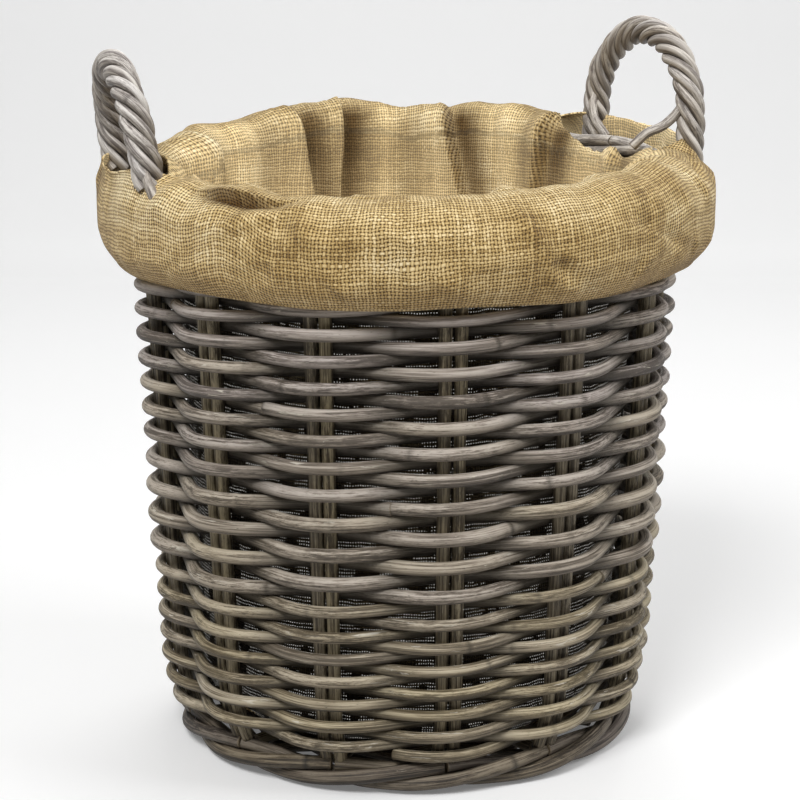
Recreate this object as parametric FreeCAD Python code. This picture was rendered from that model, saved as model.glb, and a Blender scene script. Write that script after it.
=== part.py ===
"""Wicker log basket with a lift-out hessian liner.

Millimetres, +Z up.  The origin is the middle of the foot, on the floor.  The front is -Y.
An angle round the basket is in degrees from the front, growing towards +X.

The basket is worked on 13 pairs of stakes by three weavers that climb side by side.  Each weaver
is six rattan rods, spliced end to end, that pass outside one pair of stakes and inside the next.
A border rolled from 13 rods finishes the rim, and another is the foot.  The two handles are
canes laid round a bent core.  The liner is a hessian bag with its top turned down over the rim.
"""
import FreeCAD, Part
import math
import os

# ---- the whole basket ----
stake_count = 13                    # pairs of stakes, and arms of the base
first_stake_angle = 9.8
gap = 0.5                           # air between two canes that pass each other
step_angle = 360.0 / stake_count

# ---- the wall, as the line of the stakes ----
stake_bottom_z = 22.0
stake_bottom_r = 167.5
wall_bend_z = 50.0                  # the wall turns up here
wall_bend_r = 178.5
wall_top_z = 430.0
wall_top_r = 198.0
wall_bend_radius = 120.0

# ---- stakes ----
stake_d = 10.0
stake_spacing = 12.6                # between the two stakes of a pair

# ---- weavers ----
weaver_count = 3
rods_per_weaver = 6
stakes_per_rod = 29
bulge_radius = 54.0                 # bend of a rod outside a pair of stakes
tuck_radius = 110.0                 # bend of a rod inside a pair of stakes
splice_gap = 0.8
# row number and its height; the rows are closer at the foot and at the rim
row_heights = [(0.0, 27.2), (12.0, 129.0), (22.0, 235.0), (33.4, 341.0), (40.4, 409.0)]
rod_diameters = [7.9, 7.9, 9.9, 8.7, 8.6, 7.7]

# ---- rim, which is higher at the back right ----
rim_top_z = 435.7
rim_tilt = 10.5
rim_high_angle = 135.0
tilt_first_row = 33.4

# ---- borders, each a three-strand roll of 13 rods ----
border_rod_d = 9.4
border_twist_r = 5.8
border_points_per_gap = 4
rim_ring_r = 192.0
foot_ring_r = 168.0
foot_flat = 0.6                     # worn flat under the foot

# ---- base ----
base_z = 14.0
base_r = 155.0
base_stick_d = 9.0
base_stick_spacing = 9.6
base_cross_r = 26.0                 # the sticks lie side by side inside this
base_spread_r = 48.0                # the sticks have spread to their arms here
base_weaver_d = 6.0
base_weave_inner_r = 58.0
base_weave_pitch = 6.5
base_weave_rods = 3
base_arms_per_rod = 61
base_weave_bend = 9.0

# ---- handles ----
handle_half_width = 67.5
handle_core_d = 7.2
handle_cane_d = 6.3
handle_cane_count = 5
handle_twist_r = 7.7
handle_lay = 66.0                   # length of one turn of the twist
handle_points_per_turn = 10
handle_core_drop = 28.0             # how far the core reaches below the rim's top
# name, angle, top of the loop, radius at its foot, outward lean in degrees, and how far the
# twist reaches below the rim's top
handles = [("left", -73.3, 521.0, 206.2, 9.0, -1.5), ("right", 117.5, 537.5, 211.4, 1.0, 18.0)]

# ---- liner ----
cloth = 2.0
liner_floor_z = 26.5
liner_floor_r = 150.5
liner_bend_r = 159.0
liner_top_r = 179.0
liner_crest_z = 445.9
liner_crest_tilt = 14.0
liner_high_angle = 160.0
liner_fold_height = 30.0
liner_fold_corner = 20.0
collar_r = 239.0
collar_hem_z = 362.0
hem_d = 4.0
slit_half_width = 86.0


def polar(radius, angle, z):
    """A point at this radius and angle round the basket."""
    turn = math.radians(angle)
    return FreeCAD.Vector(radius * math.sin(turn), -radius * math.cos(turn), z)


def stake_angle(index):
    return first_stake_angle + step_angle * index


def filleted_wire(points, radii):
    """Straight runs through the points, with a tangent arc at each inner point."""
    edges = []
    start = points[0]
    for before, corner, after, radius in zip(points, points[1:], points[2:], radii):
        back = (before - corner).normalize()
        ahead = (after - corner).normalize()
        half_turn = (math.pi - back.getAngle(ahead)) / 2
        tangent_length = radius * math.tan(half_turn)
        inward = (back + ahead).normalize()
        arc_start = corner + back * tangent_length
        arc_end = corner + ahead * tangent_length
        arc_middle = corner + inward * (radius / math.cos(half_turn) - radius)
        edges.append(Part.LineSegment(start, arc_start).toShape())
        edges.append(Part.Arc(arc_start, arc_middle, arc_end).toShape())
        start = arc_end
    edges.append(Part.LineSegment(start, points[-1]).toShape())
    return Part.Wire(edges)


def cane(points, radii, diameter):
    """A round cane along the points, checked against its section times its length."""
    path = filleted_wire(points, radii)
    direction = (points[1] - points[0]).normalize()
    ring = Part.Wire(Part.Circle(points[0], direction, diameter / 2).toShape())
    solid = Part.Solid(path.makePipeShell([ring], True, False).Shells[0])
    expected = math.pi * diameter ** 2 / 4 * path.Length
    if not solid.isValid() or abs(solid.Volume / expected - 1) > 0.01:
        raise ValueError("a cane came out wrong: %.1f for %.1f" % (solid.Volume, expected))
    return solid


def export(name, solids):
    """Write one node as its own STEP file."""
    shape = solids[0] if len(solids) == 1 else Part.makeCompound(solids)
    shape.exportStep("parts/" + name + ".step")


# ---- the wall's line ----

def wall_radius(z):
    """Radius of the stakes' centre line, with the bend near the foot."""
    low_slope = (wall_bend_r - stake_bottom_r) / (wall_bend_z - stake_bottom_z)
    high_slope = (wall_top_r - wall_bend_r) / (wall_top_z - wall_bend_z)
    low_angle = math.atan(low_slope)
    high_angle = math.atan(high_slope)
    reach = wall_bend_radius * math.tan((low_angle - high_angle) / 2)
    if z < wall_bend_z - reach * math.cos(low_angle):
        return wall_bend_r + low_slope * (z - wall_bend_z)
    if z > wall_bend_z + reach * math.cos(high_angle):
        return wall_bend_r + high_slope * (z - wall_bend_z)
    arc_end_z = wall_bend_z + reach * math.cos(high_angle)
    arc_end_r = wall_bend_r + reach * math.sin(high_angle)
    centre_z = arc_end_z + wall_bend_radius * math.sin(high_angle)
    centre_r = arc_end_r - wall_bend_radius * math.cos(high_angle)
    return centre_r + math.sqrt(wall_bend_radius ** 2 - (z - centre_z) ** 2)


def rim_rise(angle):
    """How much higher the rim is here than on average."""
    return rim_tilt * math.cos(math.radians(angle - rim_high_angle))


def border_outer_r():
    return border_twist_r + border_rod_d / 2


# ---- stakes ----

def stake_pair(index):
    angle = stake_angle(index)
    top_z = rim_top_z + rim_rise(angle) - 2 * border_outer_r() - gap
    out = polar(1, angle, 0)
    across = FreeCAD.Vector(-out.y, out.x, 0)
    pair = []
    for side in (-1, 1):
        shift = across * (side * stake_spacing / 2)
        points = [out * stake_bottom_r + shift + FreeCAD.Vector(0, 0, stake_bottom_z),
                  out * wall_bend_r + shift + FreeCAD.Vector(0, 0, wall_bend_z),
                  out * wall_radius(top_z) + shift + FreeCAD.Vector(0, 0, top_z)]
        pair.append(cane(points, [wall_bend_radius], stake_d))
    return pair


# ---- weavers ----

def row_z(row, angle):
    """Height of a row of weaving, by its number counted from the foot."""
    height = row_heights[-1][1]
    for (row_a, z_a), (row_b, z_b) in zip(row_heights, row_heights[1:]):
        if row <= row_b:
            height = z_a + (z_b - z_a) * (row - row_a) / (row_b - row_a)
            break
    above = max(0.0, row - tilt_first_row) / (row_heights[-1][0] - tilt_first_row)
    return height + above * rim_rise(angle)


def weave_corners(z, diameter):
    """Radii of a rod's corners inside and outside a pair of stakes, so that its arcs clear them."""
    lean = math.atan(wall_radius(z + 0.5) - wall_radius(z - 0.5))
    reach = (stake_d / 2 + diameter / 2 + gap) / math.cos(lean)
    step = math.radians(step_angle)
    tuck_r = wall_radius(z) - reach
    bulge_r = wall_radius(z) + reach
    for _ in range(30):
        slope = math.atan2(bulge_r * math.cos(step) - tuck_r, bulge_r * math.sin(step))
        tuck_r = wall_radius(z) - reach - 0.3 - tuck_radius * (1 / math.cos(slope) - 1)
        bulge_r = wall_radius(z) + reach + 0.4 + bulge_radius * (1 / math.cos(slope + step) - 1)
    return tuck_r, bulge_r


def weaver_point(weaver, stake, diameter):
    """Corner of a weaver's path at this stake, which is counted on from turn to turn."""
    angle = stake_angle(stake)
    z = row_z(weaver_count * stake / stake_count + weaver, angle)
    tuck_r, bulge_r = weave_corners(z, diameter)
    if (stake + weaver) % 2:
        return polar(tuck_r, angle, z), tuck_radius
    return polar(bulge_r, angle, z), bulge_radius


def weaver_rod(weaver, rod):
    first_stake = round(-weaver * stake_count / weaver_count) + rod * stakes_per_rod
    diameter = rod_diameters[rod]
    corners = [weaver_point(weaver, first_stake + step, diameter) for step in range(-1, stakes_per_rod + 1)]
    points = [point for point, radius in corners]
    radii = [radius for point, radius in corners[1:-1]]
    start = (points[0] + points[1]) * 0.5
    end = (points[-2] + points[-1]) * 0.5
    start += (points[1] - points[0]).normalize() * (splice_gap / 2)
    end -= (points[-1] - points[-2]).normalize() * (splice_gap / 2)
    return cane([start] + points[1:-1] + [end], radii, diameter)


# ---- borders ----

def border_rod(index, ring_r, centre_z):
    """One rod of a border: it makes one turn round the roll in three stake gaps."""
    steps = 3 * border_points_per_gap
    points = []
    for step in range(steps + 1):
        angle = stake_angle(index + step / border_points_per_gap)
        turn = 2 * math.pi * step / steps + math.pi / 2
        radius = ring_r + border_twist_r * math.cos(turn)
        points.append(polar(radius, angle, centre_z(angle) + border_twist_r * math.sin(turn)))
    points[0] += (points[1] - points[0]).normalize() * (splice_gap / 2)
    points[-1] += (points[-2] - points[-1]).normalize() * (splice_gap / 2)
    radii = []
    for before, corner, after in zip(points, points[1:], points[2:]):
        half_turn = (math.pi - (before - corner).getAngle(after - corner)) / 2
        run = min((corner - before).Length, (after - corner).Length)
        radii.append(0.45 * run / math.tan(half_turn))
    return cane(points, radii, border_rod_d)


def rim_border():
    def centre_z(angle):
        return rim_top_z + rim_rise(angle) - border_outer_r()
    return [border_rod(index, rim_ring_r, centre_z) for index in range(stake_count)]


def foot_border():
    """The foot's roll, with the bottom of each rod worn flat on the floor."""
    def centre_z(angle):
        return border_outer_r() - foot_flat
    side = 2 * (foot_ring_r + 2 * border_outer_r())
    above_floor = Part.makeBox(side, side, side, FreeCAD.Vector(-side / 2, -side / 2, 0))
    rods = []
    for index in range(stake_count):
        rod = border_rod(index, foot_ring_r, centre_z).common(above_floor)
        rods.append(rod.Solids[0])
    return rods


# ---- base ----

def base_stick(middle_arm, place, level):
    """A stick right across the base.

    Three sticks lie side by side in the middle of the base, at place -1, 0 and 1, and spread to
    the arms beside middle_arm and beside the one opposite it.  level lifts these three over the
    other three or drops them under."""
    arm = middle_arm + place
    far_arm = middle_arm + 6 - place
    along = polar(1, stake_angle(middle_arm), 0) - polar(1, stake_angle(middle_arm + 6), 0)
    along.normalize()
    across = FreeCAD.Vector(-along.y, along.x, 0)
    middle_z = FreeCAD.Vector(0, 0, base_z + level * (base_stick_d + gap) / 2)
    side_shift = across * (place * base_stick_spacing)
    points = [polar(base_r, stake_angle(arm), base_z),
              polar(base_spread_r, stake_angle(arm), base_z),
              along * base_cross_r + side_shift + middle_z,
              along * -base_cross_r + side_shift + middle_z,
              polar(base_spread_r, stake_angle(far_arm), base_z),
              polar(base_r, stake_angle(far_arm), base_z)]
    return cane(points, [18.0] * 4, base_stick_d)


def base_half_stick():
    arm = stake_count - 1
    start = polar(base_spread_r, stake_angle(arm), base_z)
    length = base_r - base_spread_r
    return Part.makeCylinder(base_stick_d / 2, length, start, polar(1, stake_angle(arm), 0))


def base_weaver_point(arm):
    """Corner of the base's weaver at this arm, which is counted on from turn to turn."""
    radius = base_weave_inner_r + base_weave_pitch * arm / stake_count
    half_chord = radius * math.sin(math.radians(step_angle / 2))
    crown = (base_stick_d + base_weaver_d) / 2 + gap
    lift = crown
    for _ in range(30):
        slope = math.atan2(lift, half_chord)
        lift = crown + base_weave_bend * (1 / math.cos(slope) - 1)
    side = 1 if arm % 2 else -1
    return polar(radius, stake_angle(arm), base_z + side * lift)


def base_weaver(rod):
    first_arm = rod * base_arms_per_rod
    points = [base_weaver_point(first_arm + step) for step in range(-1, base_arms_per_rod + 1)]
    start = (points[0] + points[1]) * 0.5
    end = (points[-2] + points[-1]) * 0.5
    start += (points[1] - points[0]).normalize() * (splice_gap / 2)
    end -= (points[-1] - points[-2]).normalize() * (splice_gap / 2)
    radii = [base_weave_bend] * (len(points) - 2)
    return cane([start] + points[1:-1] + [end], radii, base_weaver_d)


# ---- handles ----

def handle_frame(handle):
    """Foot height, spring height and the three directions of a handle's loop."""
    name, angle, top_z, radius, lean, drop = handle
    out = polar(1, angle, 0)
    across = FreeCAD.Vector(-out.y, out.x, 0)
    tilt = math.radians(lean)
    up = out * math.sin(tilt) + FreeCAD.Vector(0, 0, math.cos(tilt))
    foot = out * radius + FreeCAD.Vector(0, 0, rim_top_z + rim_rise(angle) - drop)
    rope_r = handle_twist_r + handle_cane_d / 2
    leg = top_z - rope_r - handle_half_width - foot.z
    return foot, across, up, leg


def handle_core(handle):
    foot, across, up, leg = handle_frame(handle)
    left = foot - across * handle_half_width
    right = foot + across * handle_half_width
    spring = up * leg
    root = up * (handle[5] - handle_core_drop)
    crown = foot + up * (leg + handle_half_width)
    edges = [Part.LineSegment(left + root, left + spring).toShape(),
             Part.Arc(left + spring, crown, right + spring).toShape(),
             Part.LineSegment(right + spring, right + root).toShape()]
    path = Part.Wire(edges)
    ring = Part.Wire(Part.Circle(left + root, up, handle_core_d / 2).toShape())
    return Part.Solid(path.makePipeShell([ring], True, False).Shells[0])


def handle_axis(handle, distance):
    """A point on the loop's centre line and its outward direction in the loop's plane."""
    foot, across, up, leg = handle_frame(handle)
    arch = math.pi * handle_half_width
    if distance < leg:
        return foot - across * handle_half_width + up * distance, across * -1
    if distance > leg + arch:
        down = 2 * leg + arch - distance
        return foot + across * handle_half_width + up * down, across
    swing = (distance - leg) / handle_half_width
    outward = across * -math.cos(swing) + up * math.sin(swing)
    return foot + up * leg + outward * handle_half_width, outward


def handle_cane(handle, index):
    """One cane of the twist, which runs from foot to foot of the loop."""
    foot, across, up, leg = handle_frame(handle)
    side = across.cross(up)
    length = 2 * leg + math.pi * handle_half_width
    steps = round(length / handle_lay * handle_points_per_turn)
    points = []
    for step in range(steps + 1):
        centre, outward = handle_axis(handle, length * step / steps)
        turn = 2 * math.pi * (step / handle_points_per_turn + index / handle_cane_count)
        points.append(centre + (outward * math.cos(turn) - side * math.sin(turn)) * handle_twist_r)
    radii = []
    for before, corner, after in zip(points, points[1:], points[2:]):
        half_turn = (math.pi - (before - corner).getAngle(after - corner)) / 2
        run = min((corner - before).Length, (after - corner).Length)
        radii.append(0.45 * run / math.tan(half_turn))
    return cane(points, radii, handle_cane_d)


# ---- liner ----

def revolved(outline):
    """A ring-shaped solid from an outline of (radius, z) points."""
    corners = [FreeCAD.Vector(radius, 0, z) for radius, z in outline]
    face = Part.Face(Part.makePolygon(corners + corners[:1]))
    return face.revolve(FreeCAD.Vector(0, 0, 0), FreeCAD.Vector(0, 0, 1), 360)


def tilted(shape):
    """The shape sheared so that its level planes follow the liner's crest."""
    high = polar(liner_crest_tilt / collar_r, liner_high_angle, 0)
    shear = FreeCAD.Matrix()
    shear.A31 = high.x
    shear.A32 = high.y
    return shape.transformGeometry(shear)


def below_fold():
    """Everything under the plane where the turned-down fold starts."""
    side = 3 * collar_r
    block = Part.makeBox(side, side, side, FreeCAD.Vector(-side / 2, -side / 2, 0))
    block.translate(FreeCAD.Vector(0, 0, liner_crest_z - liner_fold_height - side))
    return tilted(block)


def liner_side():
    """The bag's wall, from its floor seam up to the fold."""
    top_z = liner_crest_z + liner_crest_tilt
    outline = [(liner_floor_r, liner_floor_z), (liner_bend_r, wall_bend_z), (liner_top_r, liner_crest_z),
               (liner_top_r, top_z), (liner_top_r - cloth, top_z), (liner_top_r - cloth, liner_crest_z),
               (liner_bend_r - cloth, wall_bend_z), (liner_floor_r - cloth, liner_floor_z)]
    return revolved(outline).common(below_fold()).Solids[0]


def liner_floor():
    return Part.makeCylinder(liner_floor_r - cloth - 0.2, cloth, FreeCAD.Vector(0, 0, liner_floor_z))


def fold_outline(offset):
    """Half of a section of the fold: up the inside, over the rim and down to the collar."""
    inner_r = liner_top_r - cloth + offset
    outer_r = collar_r - offset
    base = liner_crest_z - liner_fold_height
    crest = liner_crest_z - offset
    corner = liner_fold_corner - offset
    bevel = corner * (1 - math.sqrt(0.5))
    inner_arc = Part.Arc(FreeCAD.Vector(inner_r, 0, crest - corner),
                         FreeCAD.Vector(inner_r + bevel, 0, crest - bevel),
                         FreeCAD.Vector(inner_r + corner, 0, crest))
    outer_arc = Part.Arc(FreeCAD.Vector(outer_r - corner, 0, crest),
                         FreeCAD.Vector(outer_r - bevel, 0, crest - bevel),
                         FreeCAD.Vector(outer_r, 0, crest - corner))
    return [Part.LineSegment(FreeCAD.Vector(inner_r, 0, base), FreeCAD.Vector(inner_r, 0, crest - corner)),
            inner_arc,
            Part.LineSegment(FreeCAD.Vector(inner_r + corner, 0, crest),
                             FreeCAD.Vector(outer_r - corner, 0, crest)),
            outer_arc,
            Part.LineSegment(FreeCAD.Vector(outer_r, 0, crest - corner), FreeCAD.Vector(outer_r, 0, base))]


def slit(handle):
    """The block that a handle's slit takes out of the fold."""
    angle = handle[1]
    block = Part.makeBox(2 * slit_half_width, collar_r, 2 * liner_crest_z,
                         FreeCAD.Vector(-slit_half_width, -collar_r * 1.1, 0))
    block.rotate(FreeCAD.Vector(0, 0, 0), FreeCAD.Vector(0, 0, 1), angle)
    return block


def liner_fold():
    """The cloth over the rim, in a front and a rear half between the handles' slits."""
    base = liner_crest_z - liner_fold_height
    skin = fold_outline(0.0)
    lining = fold_outline(cloth)
    inner_foot = Part.LineSegment(FreeCAD.Vector(liner_top_r - cloth, 0, base),
                                  FreeCAD.Vector(liner_top_r, 0, base))
    outer_foot = Part.LineSegment(FreeCAD.Vector(collar_r - cloth, 0, base),
                                  FreeCAD.Vector(collar_r, 0, base))
    edges = [curve.toShape() for curve in skin + lining + [inner_foot, outer_foot]]
    face = Part.Face(Part.Wire(Part.__sortEdges__(edges)))
    ring = face.revolve(FreeCAD.Vector(0, 0, 0), FreeCAD.Vector(0, 0, 1), 360)
    for handle in handles:
        ring = ring.cut(slit(handle))
    return tilted(ring).Solids


def liner_collar():
    """The part of the top that hangs down outside the rim."""
    top_z = liner_crest_z + liner_crest_tilt
    outline = [(collar_r - cloth, collar_hem_z + hem_d), (collar_r, collar_hem_z + hem_d),
               (collar_r, top_z), (collar_r - cloth, top_z)]
    return revolved(outline).common(below_fold()).Solids[0]


def liner_hem():
    ring_r = collar_r - hem_d / 2
    return Part.makeTorus(ring_r, hem_d / 2, FreeCAD.Vector(0, 0, collar_hem_z + hem_d / 2))


def main():
    os.makedirs("parts", exist_ok=True)
    for index in range(stake_count):
        export("stake_pair_%02d" % (index + 1), stake_pair(index))
    for weaver, letter in enumerate("abc"):
        for rod in range(rods_per_weaver):
            export("weaver_%s_rod_%d" % (letter, rod + 1), [weaver_rod(weaver, rod)])
    export("rim_border", rim_border())
    export("foot_border", foot_border())
    export("base_sticks_lower", [base_stick(1, place, -1) for place in (-1, 0, 1)])
    export("base_sticks_upper", [base_stick(4, place, 1) for place in (-1, 0, 1)])
    export("base_half_stick", [base_half_stick()])
    for rod in range(base_weave_rods):
        export("base_weaver_rod_%d" % (rod + 1), [base_weaver(rod)])
    for handle in handles:
        export(handle[0] + "_handle_core", [handle_core(handle)])
        for index in range(handle_cane_count):
            export("%s_handle_cane_%d" % (handle[0], index + 1), [handle_cane(handle, index)])
    export("liner_side", [liner_side()])
    export("liner_floor", [liner_floor()])
    export("liner_fold", liner_fold())
    export("liner_collar", [liner_collar()])
    export("liner_hem", [liner_hem()])


main()
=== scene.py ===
"""Looks of the wicker log basket: organic rattan rods, twisted handles and one hessian liner."""
import bmesh
import bpy
import math
import numpy as np
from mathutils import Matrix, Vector


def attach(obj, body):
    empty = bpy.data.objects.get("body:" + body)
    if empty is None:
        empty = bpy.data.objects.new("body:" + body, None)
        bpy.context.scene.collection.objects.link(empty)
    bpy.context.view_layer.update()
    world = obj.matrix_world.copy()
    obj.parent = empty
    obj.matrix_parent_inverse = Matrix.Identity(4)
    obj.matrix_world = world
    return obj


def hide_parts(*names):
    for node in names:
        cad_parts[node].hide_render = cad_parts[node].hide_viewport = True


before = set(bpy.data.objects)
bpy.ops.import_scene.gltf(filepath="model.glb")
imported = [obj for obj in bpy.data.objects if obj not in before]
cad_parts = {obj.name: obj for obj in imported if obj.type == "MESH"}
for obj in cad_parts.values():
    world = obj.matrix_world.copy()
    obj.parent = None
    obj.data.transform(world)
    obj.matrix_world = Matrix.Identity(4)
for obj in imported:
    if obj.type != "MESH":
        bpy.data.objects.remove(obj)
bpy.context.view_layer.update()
rng = np.random.default_rng(11)

# ---- the basket's lines, in millimetres, as in the CAD ----
STAKES = 13                                  # pairs of stakes
FIRST = 9.8                                  # angle of the first pair from the front, in degrees
STEP = 360.0 / STAKES
# rows of weaving and their heights, and the thickness of each weaver's rods from the foot up
ROWS = [(0.0, 27.2), (12.0, 129.0), (22.0, 235.0), (33.4, 341.0), (40.4, 409.0)]
ROD_D = [7.9, 7.9, 9.9, 8.7, 8.6, 7.7]
RIM_Z, RIM_TILT, RIM_R, FOOT_R = 435.7, 10.5, 192.0, 168.0
BEND_Z, BEND_R, BEND_ARC = 50.0, 178.5, 120.0     # where the wall's flare bends into its slope
STAKE_FOOT_R, STAKE_FOOT_Z = 166.5, 19.5
BULGE, TUCK = 54.0, 110.0                    # radius of a weaver's bends outside and inside the stakes
BASE_Z, HUB_R, ARM_R = 14.0, 48.0, 155.0     # the base cross: height, and where its arms start and end
# handles: side, angle, top, radius, lean in degrees, and how far the feet start below the rim's top
HANDLES = [("left", -73.3, 521.0, 206.2, 9.0, -1.5), ("right", 117.5, 537.5, 211.4, 1.0, 18.0)]
HALF, LAY, TWIST = 67.5, 66.0, 7.5           # half width, length of one turn, radius of the twist
CANES, CANE_R, SEEN_CANE_R = 5, 3.15, 3.75   # canes of a handle, their radius in the CAD and here
CORE_DEPTH = 28.0                            # how far below the rim's top a handle's core ends
RIDGES, COLLAR_R, MEAN_R = 34, 228.0, 0.226  # creases of the collar, its radius, the sheet's in metres
FLOOR_Z, FLOOR_R = 29.4, 148.0               # the bag's floor
CLOTH = 0.0014                               # thickness of the hessian, in metres


def polar(radius, angle, z):
    """The point at this radius, angle from the front in degrees, and height."""
    turn = math.radians(angle)
    return np.array([radius * math.sin(turn), -radius * math.cos(turn), z])


def stake_angle(index):
    return FIRST + STEP * index


def wall_radius(z):
    """The wall's radius at this height: a flare, then an arc, then a steep slope."""
    low, high = 11.0 / 28.0, 19.5 / 380.0
    a, b = math.atan(low), math.atan(high)
    reach = BEND_ARC * math.tan((a - b) / 2)
    if z < BEND_Z - reach * math.cos(a):
        return BEND_R + low * (z - BEND_Z)
    if z > BEND_Z + reach * math.cos(b):
        return BEND_R + high * (z - BEND_Z)
    centre_z = BEND_Z + reach * math.cos(b) + BEND_ARC * math.sin(b)
    centre_r = BEND_R + reach * math.sin(b) - BEND_ARC * math.cos(b)
    return centre_r + math.sqrt(BEND_ARC ** 2 - (z - centre_z) ** 2)


def rim_rise(angle):
    """How much higher than its mean the tilted rim is at this angle."""
    return RIM_TILT * math.cos(math.radians(angle - 135))


def row_z(row, angle):
    """The height of a row of weaving at this angle."""
    z = np.interp(row, [r for r, h in ROWS], [h for r, h in ROWS])
    return z + max(0.0, row - 33.4) / 7.0 * rim_rise(angle)


def weave_corners(z, d):
    """Radii of a weaver's corners inside and outside the stakes, so that its bends clear them."""
    lean = math.atan(wall_radius(z + 0.5) - wall_radius(z - 0.5))
    reach = (5.0 + d / 2 + 0.5) / math.cos(lean)
    step = math.radians(STEP)
    tuck, bulge = wall_radius(z) - reach, wall_radius(z) + reach
    for _ in range(30):
        slope = math.atan2(bulge * math.cos(step) - tuck, bulge * math.sin(step))
        tuck = wall_radius(z) - reach - 0.3 - TUCK * (1 / math.cos(slope) - 1)
        bulge = wall_radius(z) + reach + 0.4 + BULGE * (1 / math.cos(slope + step) - 1)
    return tuck, bulge


def unit(v):
    return v / max(1e-9, np.linalg.norm(v))


def fillet_path(points, radii, pitch=3.5):
    """Points along straight runs with tangent arcs at the inner corners."""
    out = [points[0]]

    def run_to(end):
        start = out[-1]
        n = max(1, int(np.linalg.norm(end - start) / pitch))
        for k in range(1, n + 1):
            out.append(start + (end - start) * k / n)
    for a, c, b, radius in zip(points, points[1:], points[2:], radii):
        back, ahead = unit(a - c), unit(b - c)
        angle = math.acos(max(-1, min(1, float(back @ ahead))))
        half = (math.pi - angle) / 2
        if half < 1e-4:
            continue
        t = radius * math.tan(half)
        start, end = c + back * t, c + ahead * t
        centre = c + unit(back + ahead) * (radius / math.cos(half))
        run_to(start)
        n = max(2, int(2 * half * radius / pitch))
        e1 = unit(start - centre)
        e2 = unit((end - centre) - ((end - centre) @ e1) * e1)
        for k in range(1, n + 1):
            w = 2 * half * k / n
            out.append(centre + radius * (math.cos(w) * e1 + math.sin(w) * e2))
    run_to(points[-1])
    return np.array(out)


def smooth(path, passes):
    """Rounds the path off, with its ends kept."""
    p = path.copy()
    for _ in range(passes):
        q = p.copy()
        q[1:-1] = 0.25 * p[:-2] + 0.5 * p[1:-1] + 0.25 * p[2:]
        p = q
    return p


def resample(path, pitch):
    """The same path with points this far apart."""
    seg = np.linalg.norm(np.diff(path, axis=0), axis=1)
    s = np.concatenate([[0], np.cumsum(seg)])
    n = max(2, int(round(s[-1] / pitch)))
    t = np.linspace(0, s[-1], n + 1)
    return np.stack([np.interp(t, s, path[:, k]) for k in range(3)], axis=1)


def spline(points, pitch=3.0):
    """Catmull-Rom through the points."""
    p = np.array(points, float)
    p = np.vstack([2 * p[0] - p[1], p, 2 * p[-1] - p[-2]])
    out = []
    for k in range(1, len(p) - 2):
        for t in np.linspace(0, 1, 24, endpoint=False):
            a, b, c, d = p[k - 1], p[k], p[k + 1], p[k + 2]
            out.append(0.5 * (2 * b + (c - a) * t + (2 * a - 5 * b + 4 * c - d) * t * t
                              + (3 * b - 3 * c + d - a) * t ** 3))
    out.append(p[-2])
    return resample(np.array(out), pitch)


def wander(n, pitch, length, amount):
    """Smooth random numbers along a path, with this typical length."""
    knots = max(4, int(n * pitch / length) + 3)
    values = rng.normal(0, amount, knots)
    x = np.linspace(0, knots - 1, n)
    k = np.minimum(x.astype(int), knots - 2)
    f = x - k
    f = f * f * (3 - 2 * f)
    return values[k] * (1 - f) + values[k + 1] * f


# ---- meshes ----
def new_object(name, verts, faces, material, vectors=None, numbers=None):
    """A smooth mesh in the scene, from points in metres, with named vectors and numbers at its points."""
    mesh = bpy.data.meshes.new(name)
    mesh.from_pydata(verts, [], faces)
    for label, values in (vectors or {}).items():
        layer = mesh.attributes.new(label, "FLOAT_VECTOR", "POINT")
        layer.data.foreach_set("vector", np.array(values, np.float32).ravel())
    for label, values in (numbers or {}).items():
        layer = mesh.attributes.new(label, "FLOAT", "POINT")
        layer.data.foreach_set("value", np.array(values, np.float32))
    mesh.polygons.foreach_set("use_smooth", [True] * len(mesh.polygons))
    mesh.materials.append(material)
    obj = bpy.data.objects.new(name, mesh)
    bpy.context.scene.collection.objects.link(obj)
    return obj


class Pile:
    """Tubes gathered into one mesh, with the shader's numbers at each vertex."""

    def __init__(self):
        self.verts, self.faces, self.co, self.look = [], [], [], []
        self.count = 0

    def add(self, verts, faces, co, look):
        self.faces += [tuple(i + self.count for i in f) for f in faces]
        self.verts.append(verts)
        self.co.append(co)
        self.look.append(look)
        self.count += len(verts)

    def build(self, name, material):
        verts = np.vstack(self.verts) * 0.001
        numbers = dict(zip(("tone", "hue", "mark", "cut", "tuck"), np.vstack(self.look).T))
        return new_object(name, verts.tolist(), self.faces, material, {"rod_co": np.vstack(self.co)}, numbers)


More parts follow.
